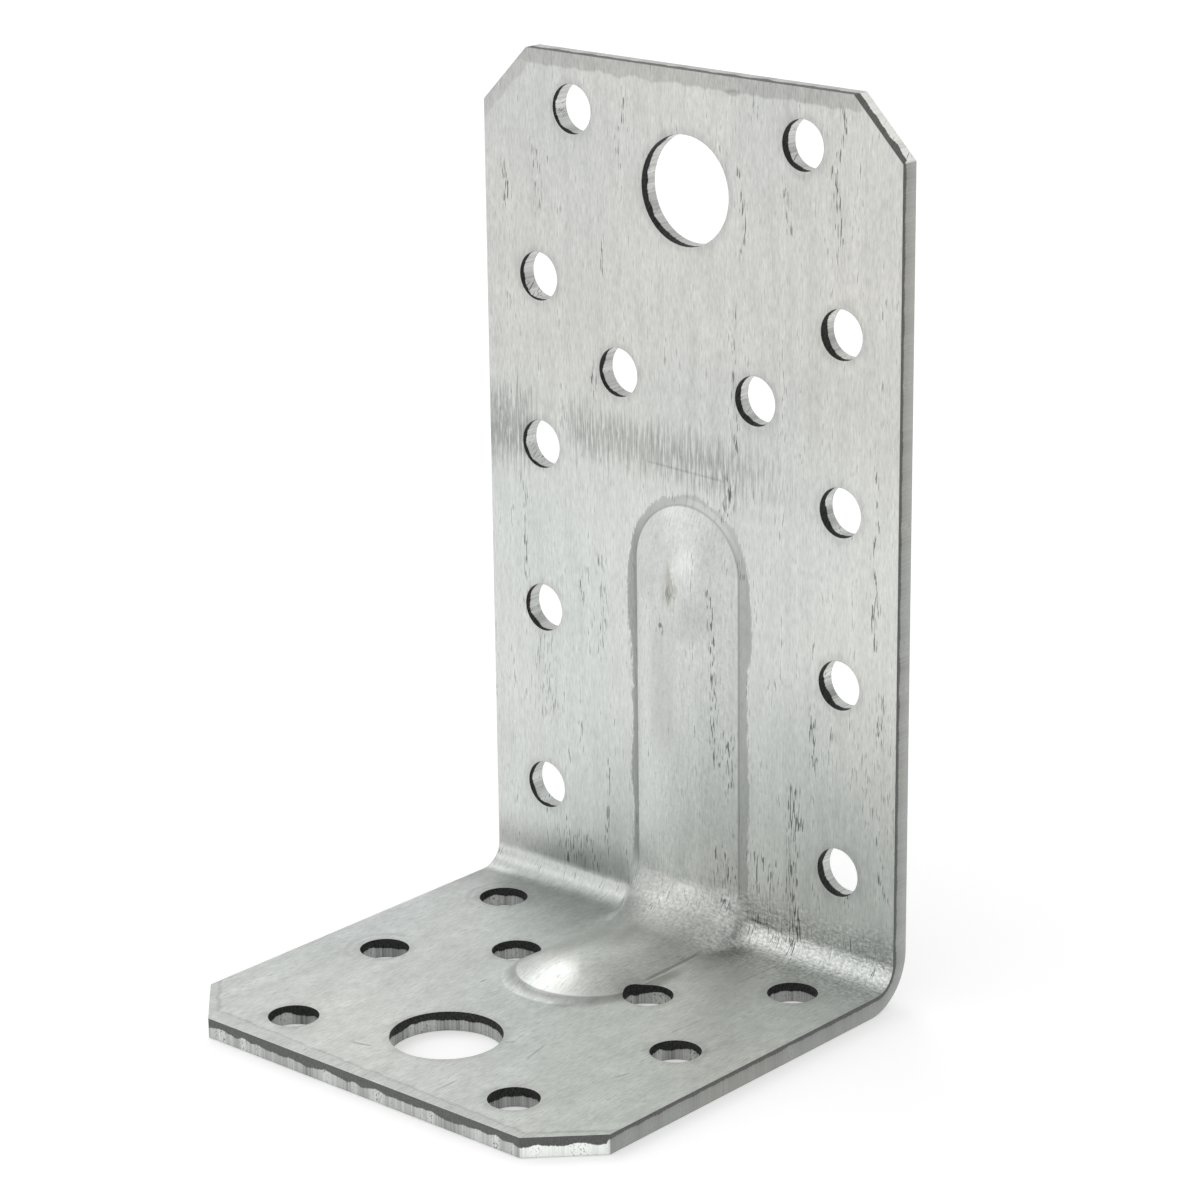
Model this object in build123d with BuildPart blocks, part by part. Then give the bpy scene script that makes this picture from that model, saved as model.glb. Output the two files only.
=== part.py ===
from build123d import *
import os

# Angle bracket: one folded sheet with two legs at a right angle, a bead
# pressed across the bend to stiffen it, nail holes and one bolt hole in
# each leg. Sizes in millimetres. The short leg lies on z = 0 and runs
# towards -Y, the tall leg stands up along +Z at the +Y side, and the
# width runs along X.

# sheet and legs
tall_leg_height = 90.0
short_leg_length = 50.0
width = 52.5
sheet = 2.0
inner_bend_r = 2.5
outer_bend_r = 5.5
corner_cut = 5.8

# hole diameters
nail_hole_d = 5.0
bolt_hole_d = 11.0

# places of the holes across the width, from the middle line
end_pair_x = 14.5
side_pair_x = 19.25
inner_pair_x = 8.75

# holes of the tall leg: the end pair and the bolt hole from its free end,
# the other rows up from the underside
tall_end_row = 5.5
tall_bolt_row = 11.75
tall_side_top_z = 67.0
tall_inner_z = 58.75
tall_side_upper_z = 49.5
tall_side_lower_z = 32.0
tall_side_bottom_z = 12.5

# holes of the short leg: the end pair and the bolt hole from its free end,
# the other rows forward from the outer back face
short_end_row = 5.75
short_bolt_row = 12.0
short_side_front_d = 26.75
short_inner_d = 18.5
short_side_back_d = 9.0

# pressed bead: half width and height of its crown, the half width its sides
# keep to in the bend, and the blends at its shoulders and its foot
bead_half_w = 6.9
bead_height = 2.0
bead_side_w = 7.4
bead_shoulder_r = 1.5
bead_foot_r = 1.5

# course of the bead: radius of the crown round the bend, how far it dips
# there, and where its round ends are centred
bead_bend_r = 4.5
bead_dip = 0.8
bead_top_z = 40.1
bead_front_d = 18.8

# derived places
back_y = short_leg_length / 2
front_y = -short_leg_length / 2
inner_y = back_y - sheet
tall_end_z = tall_leg_height - tall_end_row
tall_bolt_z = tall_leg_height - tall_bolt_row
bead_front_y = back_y - bead_front_d

# derived sizes of the bead: round of the crown, and of the hollow that runs
# one sheet below it
crown_r = (bead_half_w**2 + bead_height**2) / (2 * bead_height)
hollow_r = crown_r - sheet
hollow_side_w = bead_side_w - sheet * bead_half_w / crown_r
hollow_rim_r = bead_foot_r + sheet
bead_depth = 2 * (sheet + bead_height)
bore_depth = sheet + bead_height

# line along the top of the crown, down the tall leg and forward
with BuildLine(Plane.YZ) as crown_line:
    FilletPolyline(
        (inner_y - bead_height, bead_top_z),
        (inner_y - bead_height, sheet + bead_height - bead_dip),
        (bead_front_y, sheet + bead_height),
        radius=bead_bend_r,
    )
bead_ends = [
    Plane(crown_line.line @ t, x_dir=(1, 0, 0), z_dir=crown_line.line % t)
    for t in (0, 1)
]


def bead_section(top, round_r, side_w):
    # bar with a round top and soft shoulders, seen along the bead
    with BuildSketch() as section:
        with Locations((0, top - round_r)):
            Circle(round_r)
        with Locations((0, -bead_depth / 2)):
            Rectangle(2 * side_w, bead_depth, mode=Mode.INTERSECT)
        fillet(section.vertices().group_by(Axis.Y)[-1], bead_shoulder_r)
    return section.sketch


def bead_bar(section):
    # the section carried along the crown line and turned at both ends
    with BuildPart() as bar:
        with BuildSketch(bead_ends[0]):
            add(section)
        sweep(path=crown_line.line)
        for end in bead_ends:
            with BuildSketch(end):
                add(section)
                Rectangle(
                    width,
                    2 * bead_depth,
                    align=(Align.MIN, Align.CENTER),
                    mode=Mode.INTERSECT,
                )
            revolve(axis=Axis(end.origin, end.y_dir))
    return bar.part


def bead_rim(edges, wall_y, floor_z, bend_r):
    # edges where the bead meets one face of the folded sheet
    rim = ShapeList()
    for edge in edges:
        points = [edge @ (i / 4) for i in range(5)]
        in_face = all(
            abs(p.Y - wall_y) < 0.001
            or abs(p.Z - floor_z) < 0.001
            or abs(
                Vector(0, p.Y - wall_y + bend_r, p.Z - floor_z - bend_r).length
                - bend_r
            )
            < 0.001
            for p in points
        )
        near_bead = all(abs(p.X) < side_pair_x for p in points)
        across = edge.geom_type == GeomType.LINE and abs((edge % 0.5).X) > 0.5
        if in_face and near_bead and not across:
            rim.append(edge)
    return rim


# everything on the inner side of the outer faces
with BuildPart() as inner_side:
    with BuildSketch(Plane.YZ):
        with BuildLine():
            FilletPolyline(
                (back_y, tall_leg_height),
                (back_y, 0),
                (front_y, 0),
                radius=outer_bend_r,
            )
            Polyline((front_y, 0), (front_y, tall_leg_height), (back_y, tall_leg_height))
        make_face()
    extrude(amount=width / 2, both=True)

# raised crown of the bead, kept to the inner side
with BuildPart() as crown:
    add(bead_bar(bead_section(0, crown_r, bead_side_w)))
    add(inner_side.part, mode=Mode.INTERSECT)

# hollow left behind it
hollow = bead_bar(bead_section(-sheet, hollow_r, hollow_side_w))

with BuildPart() as angle_bracket:
    # folded sheet
    with BuildSketch(Plane.YZ):
        with BuildLine():
            FilletPolyline(
                (back_y, tall_leg_height),
                (back_y, 0),
                (front_y, 0),
                radius=outer_bend_r,
            )
            Line((front_y, 0), (front_y, sheet))
            FilletPolyline(
                (front_y, sheet),
                (inner_y, sheet),
                (inner_y, tall_leg_height),
                radius=inner_bend_r,
            )
            Line((inner_y, tall_leg_height), (back_y, tall_leg_height))
        make_face()
    extrude(amount=width / 2, both=True)

    # corners cut off at the free end of each leg
    top_corners = (
        angle_bracket.edges().filter_by(Axis.Y).group_by(Axis.Z)[-1]
    )
    front_corners = (
        angle_bracket.edges().filter_by(Axis.Z).group_by(Axis.Y)[0]
    )
    chamfer(top_corners + front_corners, corner_cut)

    # bead, with a soft foot all round it
    add(crown.part)
    crown_edges = angle_bracket.edges(Select.LAST)
    fillet(bead_rim(crown_edges, inner_y, sheet, inner_bend_r), bead_foot_r)

    # hollow behind the bead, its rim rounded to keep the sheet even
    add(hollow, mode=Mode.SUBTRACT)
    hollow_edges = angle_bracket.edges(Select.LAST)
    fillet(bead_rim(hollow_edges, back_y, 0, outer_bend_r), hollow_rim_r)

    # nail holes of the tall leg
    with BuildSketch(Plane.XZ.offset(-back_y)):
        with Locations(
            (-end_pair_x, tall_end_z),
            (end_pair_x, tall_end_z),
            (-side_pair_x, tall_side_top_z),
            (side_pair_x, tall_side_top_z),
            (-inner_pair_x, tall_inner_z),
            (inner_pair_x, tall_inner_z),
            (-side_pair_x, tall_side_upper_z),
            (side_pair_x, tall_side_upper_z),
            (-side_pair_x, tall_side_lower_z),
            (side_pair_x, tall_side_lower_z),
            (-side_pair_x, tall_side_bottom_z),
            (side_pair_x, tall_side_bottom_z),
        ):
            Circle(nail_hole_d / 2)
        with Locations((0, tall_bolt_z)):
            Circle(bolt_hole_d / 2)
    extrude(amount=bore_depth, mode=Mode.SUBTRACT)

    # nail holes of the short leg
    with BuildSketch(Plane.XY):
        with Locations(
            (-end_pair_x, front_y + short_end_row),
            (end_pair_x, front_y + short_end_row),
            (-side_pair_x, back_y - short_side_front_d),
            (side_pair_x, back_y - short_side_front_d),
            (-inner_pair_x, back_y - short_inner_d),
            (inner_pair_x, back_y - short_inner_d),
            (-side_pair_x, back_y - short_side_back_d),
            (side_pair_x, back_y - short_side_back_d),
        ):
            Circle(nail_hole_d / 2)
        with Locations((0, front_y + short_bolt_row)):
            Circle(bolt_hole_d / 2)
    extrude(amount=bore_depth, mode=Mode.SUBTRACT)

angle_bracket.part.label = "angle_bracket"

os.makedirs("parts", exist_ok=True)
export_step(angle_bracket.part, "parts/angle_bracket.step")
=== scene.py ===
import bpy
from mathutils import Matrix, Vector

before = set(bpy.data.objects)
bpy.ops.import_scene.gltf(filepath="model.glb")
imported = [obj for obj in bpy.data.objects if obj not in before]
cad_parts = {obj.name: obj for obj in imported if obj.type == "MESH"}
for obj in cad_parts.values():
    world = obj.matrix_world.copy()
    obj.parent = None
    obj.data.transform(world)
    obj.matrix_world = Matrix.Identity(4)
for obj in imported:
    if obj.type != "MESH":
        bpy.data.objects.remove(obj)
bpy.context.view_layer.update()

# Sizes of the bracket that the finish follows, in millimetres.
HALF_WIDTH = 26.25
BACK_Y = 25.0
FRONT_Y = -25.0
TALL = 90.0
SHEET = 2.0
INNER_BEND = 2.5
OUTER_BEND = 5.5
CORNER_CUT = 5.8
NAIL_R = 2.5
BOLT_R = 5.5
BEAD_HALF_W = 6.9
BEAD_TOP_Z = 40.1
BEAD_FRONT_Y = 6.2
TALL_NAILS = [(14.5, 84.5), (19.25, 67.0), (8.75, 58.75), (19.25, 49.5), (19.25, 32.0), (19.25, 12.5)]
TALL_BOLT = (0.0, 78.25)
SHORT_NAILS = [(14.5, -19.25), (19.25, -1.75), (8.75, 6.5), (19.25, 16.0)]
SHORT_BOLT = (0.0, -13.0)

# A length laid along a corner cut at 45 degrees, as a share of the length beside it.
DIAGONAL = 0.7071

# Columns of scratches on the tall leg: x, lowest and highest z, half width, strength.
SCRATCH_COLUMNS = [
    (-23.8, 73.7, 78.4, 0.5, 1.0),
    (19.0, 75.6, 88.2, 0.45, 0.95),
    (18.5, 73.5, 86.0, 0.35, 0.8),
    (-19.4, 73.6, 80.4, 0.9, 0.6),
    (-8.2, 79.5, 86.8, 0.7, 0.55),
    (8.1, 86.4, 88.4, 0.9, 0.8),
    (12.6, 76.0, 80.2, 0.9, 0.6),
    (7.1, 73.0, 81.0, 0.5, 0.85),
    (6.1, 58.5, 68.0, 0.45, 0.75),
    (-10.7, 68.0, 72.0, 0.25, 1.0),
    (6.3, 52.8, 58.0, 0.6, 0.85),
    (5.4, 46.0, 50.5, 1.4, 0.9),
    (4.1, 31.0, 39.0, 0.6, 0.85),
    (4.5, 20.5, 30.5, 0.8, 0.8),
    (5.9, 18.5, 23.5, 0.7, 0.8),
    (-10.7, 7.0, 17.2, 0.4, 1.15),
    (-14.1, 33.9, 36.6, 0.4, 1.0),
    (-11.3, 28.0, 39.0, 0.9, 0.65),
    (-21.6, 34.5, 46.0, 0.6, 0.7),
    (23.6, 36.0, 56.5, 0.45, 0.8),
    (23.7, 38.5, 41.8, 0.7, 1.2),
    (24.4, 27.8, 31.8, 0.9, 1.0),
    (16.2, 22.8, 29.3, 0.8, 0.8),
    (13.6, 7.0, 20.0, 1.3, 0.9),
    (20.5, 9.0, 13.5, 1.1, 0.75),
    (-12.0, 55.7, 58.8, 0.8, 0.8),
    (-19.0, 20.0, 29.0, 2.5, 0.5),
    (13.2, 3.8, 5.6, 1.6, 0.9),
    (-15.0, 5.0, 8.0, 5.0, 0.7),
]

# Scored lines on the short leg: x and y of both ends, half width.
SCORED_LINES = [
    (13.6, 14.5, 13.9, 20.3, 0.15),
    (-6.0, -20.0, -3.9, -19.4, 0.2),
    (16.2, 1.3, 16.5, 5.2, 0.13),
    (7.8, -23.0, 7.7, -19.9, 0.13),
    (9.5, -11.9, 8.8, -8.7, 0.13),
    (5.5, -10.7, 6.0, -9.8, 0.13),
    (18.6, -9.8, 19.1, -8.3, 0.13),
]

# The bead's dark band sits a little to the right of the middle, in millimetres.
BAND_SHIFT = 0.25

# Metal tone of the flat sheet, before streaks and marks.
SHEET_LEVEL = 0.655

# Soft round of the sharp edges in the shading, and the unit of the relief, in metres.
EDGE_ROUND = 0.00018
RELIEF_UNIT = 0.001

# The floor lies this far below the underside, in metres, so that the two never coincide.
FLOOR_GAP = 0.0001
FLOOR_SIZE = 4.0
FLOOR_TONE = 0.7
FLOOR_GLOW = 0.36

# Bright patches of the room: direction, edge and centre of the soft ramp, strength.
WINDOWS = [
    ((-0.72, -0.36, 0.59), 0.87, 0.99, 0.7),
    ((-0.50, 0.25, 0.83), 0.95, 0.995, 2.2),
    ((-0.42, -0.90, 0.05), 0.965, 0.995, 1.9),
]

# Camera fitted to the photograph: place in metres, its axes, and the lens in millimetres.
CAMERA_PLACE = (0.238242, -0.259206, 0.15749)
CAMERA_RIGHT = (0.751254, 0.659914, -0.011488)
CAMERA_DOWN = (0.196726, -0.240502, -0.950504)
CAMERA_AHEAD = (-0.630014, 0.711809, -0.310501)
LENS = 116.909
SENSOR = 36.0


class Wire:
    """A node socket that can be added, multiplied and compared like a number."""

    def __init__(self, net, socket):
        self.net = net
        self.socket = socket

    def __add__(self, other):
        return self.net.math("ADD", self, other)

    def __radd__(self, other):
        return self.net.math("ADD", other, self)

    def __sub__(self, other):
        return self.net.math("SUBTRACT", self, other)

    def __rsub__(self, other):
        return self.net.math("SUBTRACT", other, self)

    def __mul__(self, other):
        return self.net.math("MULTIPLY", self, other)

    def __rmul__(self, other):
        return self.net.math("MULTIPLY", other, self)

    def __truediv__(self, other):
        return self.net.math("DIVIDE", self, other)


class Net:
    """Lays out nodes in one material or world."""

    def __init__(self, tree):
        self.tree = tree

    def node(self, kind, **settings):
        made = self.tree.nodes.new(kind)
        for name, value in settings.items():
            setattr(made, name, value)
        return made

    def put(self, socket, value):
        if isinstance(value, Wire):
            self.tree.links.new(value.socket, socket)
        else:
            socket.default_value = value

    def math(self, operation, *values):
        made = self.node("ShaderNodeMath", operation=operation)
        for i, value in enumerate(values):
            self.put(made.inputs[i], value)
        return Wire(self, made.outputs[0])

    def low(self, a, b):
        return self.math("MINIMUM", a, b)

    def high(self, a, b):
        return self.math("MAXIMUM", a, b)

    def size(self, a):
        return self.math("ABSOLUTE", a)

    def length(self, a, b):
        return self.math("SQRT", a * a + b * b)

    def step(self, value, lo, hi):
        """0 at lo and 1 at hi with a soft ramp, or the other way round if lo is above hi."""
        made = self.node("ShaderNodeMapRange", interpolation_type="SMOOTHSTEP")
        self.put(made.inputs[0], value)
        made.inputs[1].default_value = lo
        made.inputs[2].default_value = hi
        return Wire(self, made.outputs[0])

    def bump(self, value, lo, hi, soft):
        """1 between lo and hi, 0 outside, with ramps of the given width."""
        return self.step(value, lo - soft, lo + soft) * self.step(value, hi + soft, hi - soft)

    def blend(self, a, b, t):
        made = self.node("ShaderNodeMix", data_type="FLOAT")
        self.put(made.inputs[0], t)
        self.put(made.inputs[2], a)
        self.put(made.inputs[3], b)
        return Wire(self, made.outputs[0])

    def vector(self, x, y, z=0.0):
        made = self.node("ShaderNodeCombineXYZ")
        for i, value in enumerate((x, y, z)):
            self.put(made.inputs[i], value)
        return Wire(self, made.outputs[0])

    def noise(self, place, detail=2.0, rough=0.5):
        """Noise at one, two or three wires, less its middle value."""
        made = self.node("ShaderNodeTexNoise", noise_dimensions=f"{len(place)}D")
        if len(place) == 1:
            self.put(made.inputs["W"], place[0])
        else:
            self.put(made.inputs["Vector"], self.vector(*place))
        made.inputs["Scale"].default_value = 1.0
        made.inputs["Detail"].default_value = detail
        made.inputs["Roughness"].default_value = rough
        return Wire(self, made.outputs[0]) - 0.5


def galvanised_steel(material):
    """Galvanised sheet: drawn streaks, broken scratches, rubbed marks, rims and cut edges, with painted
    shade and painted highlights.
    """
    material.use_nodes = True
    tree = material.node_tree
    tree.nodes.clear()
    net = Net(tree)
    out = net.node("ShaderNodeOutputMaterial")
    shader = net.node("ShaderNodeBsdfPrincipled")
    tree.links.new(shader.outputs[0], out.inputs[0])

    # place on the bracket, in millimetres
    place = net.node("ShaderNodeTexCoord")
    parts = net.node("ShaderNodeSeparateXYZ")
    tree.links.new(place.outputs["Object"], parts.inputs[0])
    x, y, z = (Wire(net, parts.outputs[i]) * 1000.0 for i in range(3))
    ax = net.size(x)
    shape = net.node("ShaderNodeNewGeometry")
    normal = net.node("ShaderNodeSeparateXYZ")
    tree.links.new(shape.outputs["True Normal"], normal.inputs[0])
    nx, ny, nz = (Wire(net, normal.outputs[i]) for i in range(3))

    # how far a point is past the start of the bend on each leg: a and b for the
    # outer face, a2 and b2 for the inner face
    a = y - (BACK_Y - OUTER_BEND)
    b = OUTER_BEND - z
    ap = net.high(a, 0.0)
    bp = net.high(b, 0.0)
    ab = net.length(ap, bp)
    from_outer = ab + net.low(net.high(a, b), 0.0) - OUTER_BEND
    a2 = y - (BACK_Y - SHEET - INNER_BEND)
    b2 = (SHEET + INNER_BEND) - z
    from_inner = (
        net.length(net.high(a2, 0.0), net.high(b2, 0.0))
        + net.low(net.high(a2, b2), 0.0)
        - INNER_BEND
    )

    # masks: place through the sheet, cut edges, the two legs, the inner face, the bend
    across = from_inner / (from_inner - from_outer)
    through = net.size((ny * ap - nz * bp) / net.high(ab, 0.001))
    cut = net.step(through, 0.45, 0.25)
    tall = net.step(a - b, -0.6, 0.6)
    short = 1.0 - tall
    on_tall = net.step(a - b, 0.0, 0.02)
    inner = net.step(from_inner, 0.9, 0.4)
    bend_near = net.step(a2, -5.0, -0.5) * net.step(b2, -5.0, -0.5)

    def nearest(u, v, nails, bolt):
        """Distance from the rim of the nearest hole of one leg."""
        best = None
        for px, pv in nails:
            d = net.length(ax - px, v - pv)
            best = d if best is None else net.low(best, d)
        return net.low(best - NAIL_R, net.length(u, v - bolt[1]) - BOLT_R)

    rim_tall = nearest(x, z, TALL_NAILS, TALL_BOLT)
    rim_short = nearest(x, y, SHORT_NAILS, SHORT_BOLT)
    rim = net.blend(rim_short, rim_tall, on_tall)

    # streaks run along the sheet, which is unrolled over the bend
    along = y + z

    def streaks(across_mm, along_mm, seed, detail=2.0, rough=0.5):
        """Noise drawn out along the sheet."""
        return net.noise((x * (1.0 / across_mm) + seed, along * (1.0 / along_mm) + seed), detail, rough)

    def combed(across_mm, seed, detail=2.0):
        """Noise that only changes across the streaks."""
        return net.noise((x * (1.0 / across_mm) + seed,), detail, 0.6)

    broad = streaks(24.0, 30.0, 1.3, 1.0)
    smear = streaks(1.7, 7.5, 9.1, 2.0, 0.62)
    fine = streaks(0.2, 1.1, 7.7, 2.0, 0.7)
    dash = streaks(0.17, 1.7, 11.2, 1.0, 0.65)
    comb = combed(1.1, 2.6, 3.0)
    tear = combed(0.45, 13.4, 2.0) * 7.0
    drift = net.noise((z * (1.0 / 6.0),), 1.0) * 1.5

    def patch(px, lo, hi, half, strength):
        """A stretch of the tall leg along a line at px, from height lo to hi."""
        sideways = net.step(net.size(x + drift - px), half, half * 0.2)
        up = net.step(z, lo - 1.2, lo + 0.6) * net.step(z, hi + 1.2, hi - 0.6)
        return sideways * up * strength

    # columns of dark broken scratches
    columns = patch(*SCRATCH_COLUMNS[0])
    for column in SCRATCH_COLUMNS[1:]:
        columns = net.high(columns, patch(*column))

    # short dark dashes, dense in the columns and thin elsewhere
    low_leg = net.step(z, 36.0, 10.0) * (0.2 + net.step(x, 2.0, 12.0) * 0.3) * tall
    low_leg = low_leg * net.step(smear + broad, -0.2, 0.25) * 1.6
    worn = net.step(smear + comb * 0.5, 0.05, 0.3) * 0.5
    dense = net.low(columns + worn + low_leg, 1.2)
    dashes = net.step(dash + dense * 0.15, 0.17, 0.27) * net.low(dense + 0.25, 1.1)
    dashes = dashes * net.blend(0.8, 1.0, tall)

    # tone of the sheet: darker above the rubbed band, at the lower right and on the
    # short leg, lighter at the lower left
    run = net.blend(y, z, tall)
    slow = net.noise((x * 0.5 + 3.0, run * 0.5), 1.0)
    tone = 1.0 + broad * 0.16 + comb * 0.13 + smear * 0.24
    tone = tone + fine * net.blend(0.5, 0.42, tall) + slow * short * 0.16
    tone = tone - net.step(z, 44.0, 62.0) * 0.09 - tall * 0.01
    tone = tone - short * 0.035 + net.step(x, -2.0, -12.0) * net.step(z, 46.0, 38.0) * tall * 0.035
    tone = tone - net.step(x, 10.0, 16.0) * net.step(z, 34.0, 28.0) * tall * 0.045
    tone = tone - net.step(x, 2.0, 18.0) * net.step(z, 44.0, 60.0) * 0.03

    # rubbed band across the tall leg, torn along the streaks
    stroke = streaks(0.22, 3.5, 21.7, 1.0, 0.65)
    band_off = net.size(z - 51.2 + x * 0.05 + tear)
    band = net.step(band_off, 4.6, 0.6) * net.step(x, 20.0, 2.0)
    band_left = net.step(net.size(z - 50.4 + tear), 6.0, 0.6) * net.step(x, -17.5, -22.0)
    band_gap = 1.0 - net.bump(x, -20.0, -15.5, 1.5) * 0.7
    rubbed = net.high(band * band_gap, band_left * 1.15)
    rubbed = rubbed * net.step(rubbed * 0.22 + stroke, 0.0, 0.26) * 0.31 * tall * inner
    line_z = net.size(z - 50.1 + x * 0.03)
    thin_line = net.step(line_z, 0.2, 0.06) * net.step(ax, 5.4, 4.4) * tall * inner

    # darker strip where the blank was sheared, along the top and the left cut corner
    wavy = combed(2.4, 17.1) * 0.9
    top_strip = net.step(z + wavy, 88.35, 88.7) * net.step(x, 22.0, 20.5)
    corner = (HALF_WIDTH + TALL - CORNER_CUT - ax - z) * DIAGONAL
    left_corner = net.step(corner + wavy, 1.5, 1.2) * net.step(x, -18.0, -20.0)
    strip = net.high(top_strip, left_corner * 0.6) * inner * tall

    # line beside the front edge of the short leg and its cut corners
    front_off = y - FRONT_Y - 1.55 + x * 0.02
    front_cut = (HALF_WIDTH - FRONT_Y - CORNER_CUT - ax + y) * DIAGONAL - 0.9
    edge_off = net.low(front_off, front_cut) + smear * 0.7
    front_line = net.step(net.size(edge_off), 0.3, 0.08) * short * inner
    front_strip = net.step(edge_off, 0.15, -0.15) * short * inner

    # ring pressed round each hole by the punch
    halo = net.step(rim + smear * 0.9, 1.0, 0.15) * inner

    # dark band at the foot of the bead, wide round its ends
    past_top = net.high(z - BEAD_TOP_Z, 0.0)
    past_front = net.high(BEAD_FRONT_Y - y, 0.0)
    past = past_top * past_top + past_front * past_front
    bead = net.math("SQRT", (x - BAND_SHIFT) * (x - BAND_SHIFT) + past) - BEAD_HALF_W
    right_half = net.step(x, -1.0, 1.0)
    shoulder = net.bump(z, 32.0, 40.0, 2.5) * net.blend(0.6, 0.4, right_half) + right_half * 0.15
    outer_side = bead - shoulder + fine * 0.8 + smear * 0.7 + comb * 0.4
    band_tall = net.step(outer_side, 0.72, 0.5) * (1.0 - net.step(z, 41.0, 46.0) * 0.4) * tall
    band_short = net.step(outer_side, 1.3, 0.0) * net.step(y - x * 0.8, 9.5, 5.0) * short
    band_foot = net.step(bead, -0.5, -0.34) * (band_tall + band_short) * inner
    band_foot = band_foot * (1.0 - bend_near * net.blend(1.0, 0.5, right_half))
    band_line = net.step(net.size(bead + 0.38), 0.18, 0.03) * inner * (1.0 - bend_near) * tall
    crown = net.step(0.0 - from_inner, 0.25, 0.5)

    # marks on the bead and beside it
    def spot(u, v, pu, pv, ru, rv):
        """A soft oval spot at pu, pv."""
        return net.step(net.length((u - pu) * (1.0 / ru), (v - pv) * (1.0 / rv)), 1.0, 0.3)

    dent = spot(x + fine * 2.5 + smear * 1.5, z + smear * 5.0, -0.7, 38.3, 1.2, 2.4) * crown
    dent_core = spot(x + fine * 1.5, z + smear * 2.0, -0.75, 37.6, 0.5, 1.1) * crown
    pit = spot(x + fine * 0.8, z, -1.9, 34.2, 0.45, 0.4) * crown
    nick = spot(x + fine, z, 6.0, 88.5, 1.1, 0.5) * tall
    dirt = net.step(net.size(x + 1.8 + drift * 0.6), 2.6, 0.6) * net.bump(z, 21.0, 34.0, 3.0)
    dirt = dirt * (1.0 + smear * 3.5 + fine * 2.0)
    hammered = net.noise((x * 2.1, along * 2.6), 2.0, 0.65)
    mottle = bend_near * (0.1 + net.step(x, -8.0, -3.0) * 0.25 + net.step(x, 1.0, 9.0) * 0.35)
    mottle = mottle * (0.4 + inner * 0.6)
    # painted shade in the hollow of the bead on the outer face
    hollow_shade = net.step(0.0 - from_outer, 0.2, 1.6) * (1.0 - inner)
    # painted shade on the tall leg's inner face just above the inner bend, where the bend starts
    bend_start_shade = net.step(z + tear * 0.25, 8.4, 5.4) * net.step(b2, -6.0, -0.4) * tall * inner
    bend_start_shade = bend_start_shade * net.step(b2, 0.6, 0.0) * net.step(net.size(x - 0.5), 7.0, 8.0)
    # painted shade in the crease at the right foot of the bead on the short leg, and along the tall
    # leg's crease where the bend starts
    crease_shade = net.step(net.size(x - 6.4 + (y - 9.0) * 0.05), 0.26, 0.05)
    crease_shade = crease_shade * net.step(y, 8.0, 10.0) * net.step(y, 18.5, 16.5) * short
    wall_crease_shade = net.step(net.size(z - 5.0 + x * 0.05), 0.22, 0.05)
    wall_crease_shade = wall_crease_shade * net.bump(x, 8.2, 12.0, 0.8) * tall
    crease_shade = net.high(crease_shade, wall_crease_shade * inner)

    def scored(px, py, qx, qy, half):
        """A thin scored line on the short leg from p to q."""
        reach = ((qx - px) ** 2 + (qy - py) ** 2) ** 0.5
        ux, uy = (qx - px) / reach, (qy - py) / reach
        off = net.size((x - px) * uy - (y - py) * ux + fine * 0.2)
        down_line = (x - px) * ux + (y - py) * uy
        return net.step(off, half, half * 0.3) * net.bump(down_line, 0.0, reach, 0.3)

    scratched = scored(*SCORED_LINES[0])
    for line in SCORED_LINES[1:]:
        scratched = net.high(scratched, scored(*line))
    ring = net.step(net.size(rim_short - 1.3 + smear), 0.4, 0.1) * net.step(x, -19.0, -21.0)
    scratched = net.high(scratched, ring * 0.4) * net.step(smear + fine, -0.25, 0.1) * short * inner

    # all marks, painted shade and painted highlights laid on the tone of the sheet
    tone = tone - rubbed - scratched * 0.36 - thin_line * 0.12 - strip * 0.2 - front_line * 0.14
    tone = tone - front_strip * 0.05 - halo * 0.1
    band_dark = net.blend(net.blend(0.44, 0.31, right_half), 0.4, short) + fine * 0.5 + comb * 0.3
    tone = tone * (1.0 - band_foot * band_dark) * (1.0 - band_line * 0.2)
    tone = tone * (1.0 - dent * 0.24) * (1.0 - dent_core * 0.4) * (1.0 - pit * 0.6)
    tone = tone * (1.0 - nick * 0.3) * (1.0 - crease_shade * 0.4) * (1.0 - dirt * crown * 0.14)
    # painted shade near the inner bend, a little stronger on the bead and none at the right end
    painted_bend_shade = 0.15 + crown * 0.03 - net.step(x, 7.5, 10.0) * 0.15
    tone = tone * (1.0 - dashes * 0.58) * (1.0 - bend_start_shade * 0.2) * (1.0 - bend_near * painted_bend_shade)
    tone = tone * (1.0 - hollow_shade * 0.14)
    # painted highlight along the left foot of the bead in the bend, and a painted highlight on the left
    # side of the crown
    painted_foot_glint = net.step(net.size(bead - 0.5), 1.0, 0.2) * bend_near * (1.0 - right_half)
    tone = tone * (1.0 + painted_foot_glint * 0.34) + crown * net.step(x, -2.0, -6.0) * tall * 0.05
    # painted shade on the short leg towards the inner bend and low on the tall leg
    corner_shade = net.step(y, 9.0, 19.0) * short * 0.17 + net.step(z, 24.0, 8.0) * tall * 0.02
    tone = tone * (1.0 - corner_shade * inner) * (1.0 + (mottle * 1.7 + crown * 0.2) * hammered)

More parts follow.
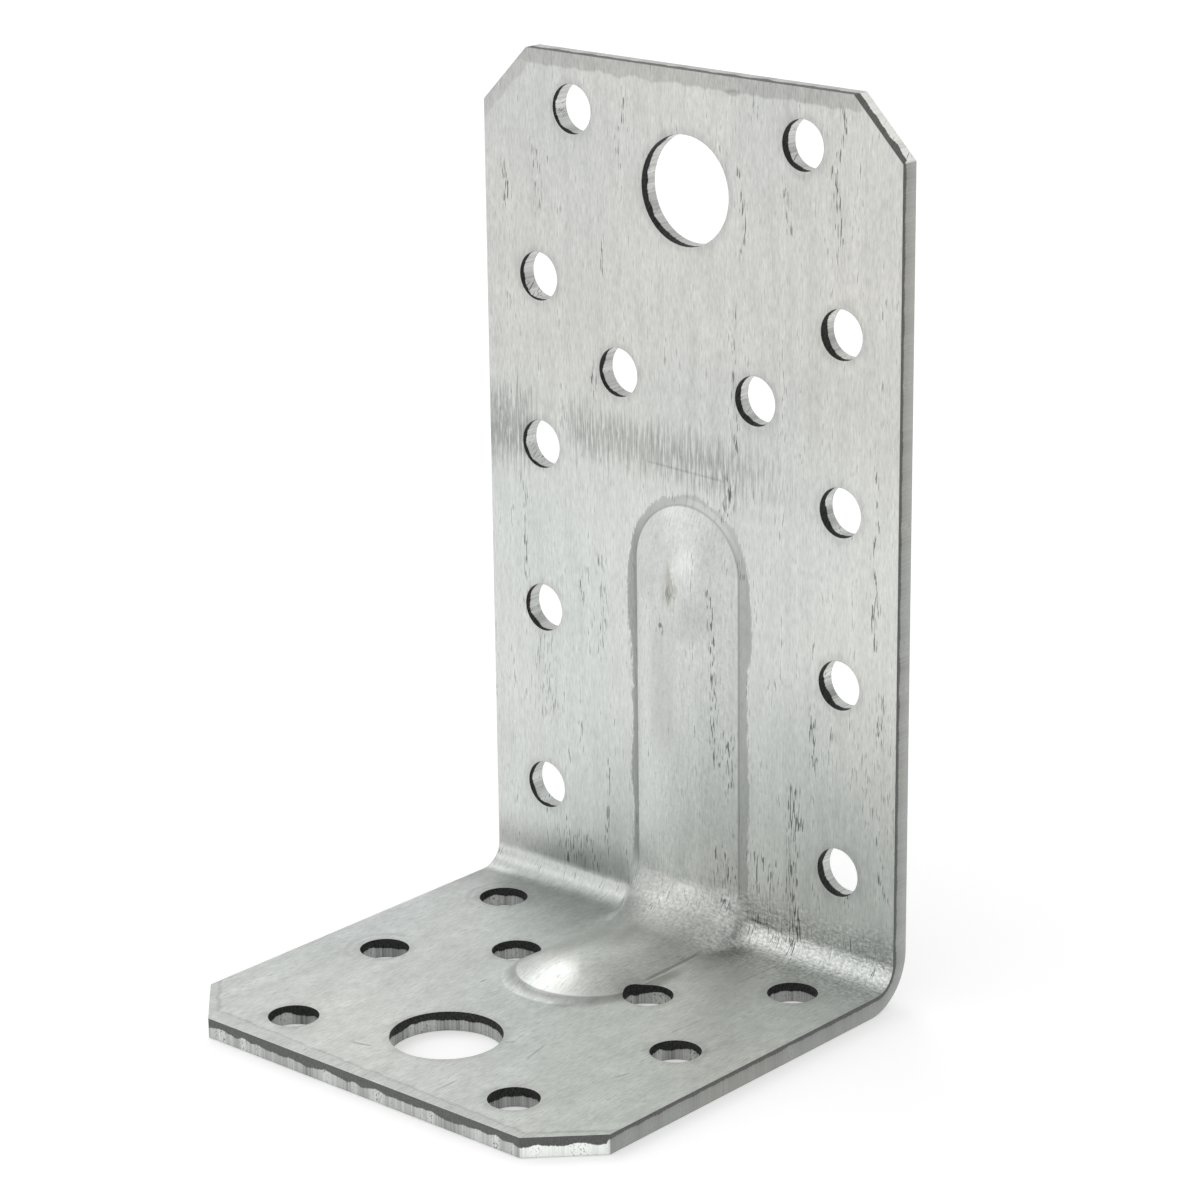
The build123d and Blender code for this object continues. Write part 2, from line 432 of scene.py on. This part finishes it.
    # cut edges: a dark torn band beside the inner face and a smooth sheared band
    lay = net.noise((x * 4.5, run * 4.5), 2.0, 0.7)
    grit = net.noise((x * 5.5 + across * 4.0, run * 5.5 - across * 5.0), 2.0, 0.7)
    in_hole = net.step(rim, 0.5, 0.3)
    long_edge = net.step(ax, 26.0, 26.2)
    slant = net.bump(net.size(nx), 0.55, 0.85, 0.1) * (1.0 - in_hole)
    border = 0.45 - long_edge * 0.23 - in_hole * tall * net.step(x, -6.0, -7.0) * 0.16
    border_shift = across + slow * (0.4 - long_edge * 0.25) + lay * 0.08 + grit * 0.08 - border
    torn = net.step(border_shift, 0.03, -0.03)
    # torn walls inside the holes are darker: painted shade
    torn_tone = 0.19 + grit * 0.14 - in_hole * 0.13
    front_edge = net.step(y, FRONT_Y + 0.3, FRONT_Y + 0.1)
    sheared_tone = 0.55 - front_edge * 0.05 + lay * (0.45 - long_edge * 0.35)
    sheared_tone = sheared_tone + slow * (0.5 - long_edge * 0.4)
    sheared_tone = sheared_tone - in_hole * net.blend(0.2, 0.0, tall) + slant * 0.38
    sheared_tone = sheared_tone - long_edge * (0.28 - across * 0.12)
    black = net.step(grit + slow * 0.4, 0.17, 0.24) * (1.0 - long_edge * 0.6)
    sheared_tone = sheared_tone * (1.0 - black * 0.65)
    edge_tone = net.blend(sheared_tone, torn_tone, torn)

    # colour: faintly green below the rubbed band and neutral above it
    level = net.blend(tone * SHEET_LEVEL, edge_tone, cut)
    level = net.low(net.high(level, 0.02), 0.95)
    warm = broad * 0.05 + dent * 0.03
    tint = net.node("ShaderNodeCombineColor")
    net.put(tint.inputs[0], level * (0.972 + warm + net.step(z, 44.0, 64.0) * 0.024))
    net.put(tint.inputs[1], level)
    net.put(tint.inputs[2], level * (0.962 - warm))
    tree.links.new(tint.outputs[0], shader.inputs["Base Color"])

    gloss = 0.38 + smear * 0.2 + dashes * 0.2 + band_foot * 0.06 + strip * 0.06
    edge_gloss = net.blend(0.32, 0.75, torn)
    net.put(shader.inputs["Roughness"], net.blend(gloss, edge_gloss, cut))
    shader.inputs["Metallic"].default_value = 1.0

    # relief in millimetres, with the full round ends of the bead
    swell_top = net.step(net.length(x - 1.0, z - 38.8), 6.5, 0.0) * tall * 0.7
    swell_front = net.step(net.length(x - 0.5, y - 8.8), 8.5, 0.0) * short * 0.9
    relief = fine * 0.02 + mottle * hammered * 0.09 + (swell_top + swell_front) * inner
    soft = net.node("ShaderNodeBevel", samples=2)
    soft.inputs["Radius"].default_value = EDGE_ROUND
    relief_node = net.node("ShaderNodeBump")
    relief_node.inputs["Strength"].default_value = 1.0
    relief_node.inputs["Distance"].default_value = RELIEF_UNIT
    net.put(relief_node.inputs["Height"], relief)
    tree.links.new(soft.outputs[0], relief_node.inputs["Normal"])
    tree.links.new(relief_node.outputs[0], shader.inputs["Normal"])


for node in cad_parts.values():
    steel = bpy.data.materials.new("galvanised_steel")
    galvanised_steel(steel)
    if node.material_slots:
        node.material_slots[0].material = steel
    else:
        node.data.materials.append(steel)


def shown_rays(net):
    """1 for the rays that see a background: the camera's and those in metal and glass."""
    path = net.node("ShaderNodeLightPath")
    shown = Wire(net, path.outputs["Is Camera Ray"])
    for name in ("Is Glossy Ray", "Is Transmission Ray"):
        shown = net.high(shown, Wire(net, path.outputs[name]))
    return shown


# floor
bpy.ops.mesh.primitive_plane_add(size=FLOOR_SIZE, location=(0, 0, -FLOOR_GAP))
floor = bpy.context.object
floor.name = "floor"
paper = bpy.data.materials.new("paper")
paper.use_nodes = True
net = Net(paper.node_tree)
card = paper.node_tree.nodes["Principled BSDF"]
card.inputs["Base Color"].default_value = (FLOOR_TONE, FLOOR_TONE, FLOOR_TONE, 1)
card.inputs["Roughness"].default_value = 0.9
card.inputs["Specular IOR Level"].default_value = 0.0
glow = net.node("ShaderNodeEmission")
net.put(glow.inputs["Strength"], shown_rays(net) * FLOOR_GLOW)
both = net.node("ShaderNodeAddShader")
links = paper.node_tree.links
links.new(card.outputs[0], both.inputs[0])
links.new(glow.outputs[0], both.inputs[1])
links.new(both.outputs[0], paper.node_tree.nodes["Material Output"].inputs[0])
floor.data.materials.append(paper)

# surroundings: an even room with three soft bright patches
world = bpy.data.worlds.new("studio")
bpy.context.scene.world = world
world.use_nodes = True
sky = Net(world.node_tree)
back = world.node_tree.nodes["Background"]
back.inputs["Color"].default_value = (1, 1, 1, 1)
at = sky.node("ShaderNodeTexCoord")
direction = sky.node("ShaderNodeSeparateXYZ")
world.node_tree.links.new(at.outputs["Generated"], direction.inputs[0])
dx, dy, dz = (Wire(sky, direction.outputs[i]) for i in range(3))


def window(aim, edge, centre, strength):
    """A soft bright patch of the room in the direction aim."""
    toward = dx * aim[0] + dy * aim[1] + dz * aim[2]
    return sky.step(toward, edge, centre) * strength


room = 0.82 + sky.step(dz, 0.1, 0.8) * 0.05 - dx * 0.04 - dy * 0.09
for patch_of_light in WINDOWS:
    room = room + window(*patch_of_light)
sky.put(back.inputs["Strength"], room)
world.cycles.sampling_method = "NONE"

# camera, as fitted to the photograph
data = bpy.data.cameras.new("camera")
data.sensor_width = SENSOR
data.lens = LENS
data.clip_start = 0.01
data.clip_end = 20.0
camera = bpy.data.objects.new("camera", data)
bpy.context.scene.collection.objects.link(camera)
spin = Matrix((Vector(CAMERA_RIGHT), -Vector(CAMERA_DOWN), -Vector(CAMERA_AHEAD))).transposed()
camera.matrix_world = Matrix.Translation(CAMERA_PLACE) @ spin.to_4x4()
bpy.context.scene.camera = camera
bpy.context.scene.view_settings.view_transform = "Standard"
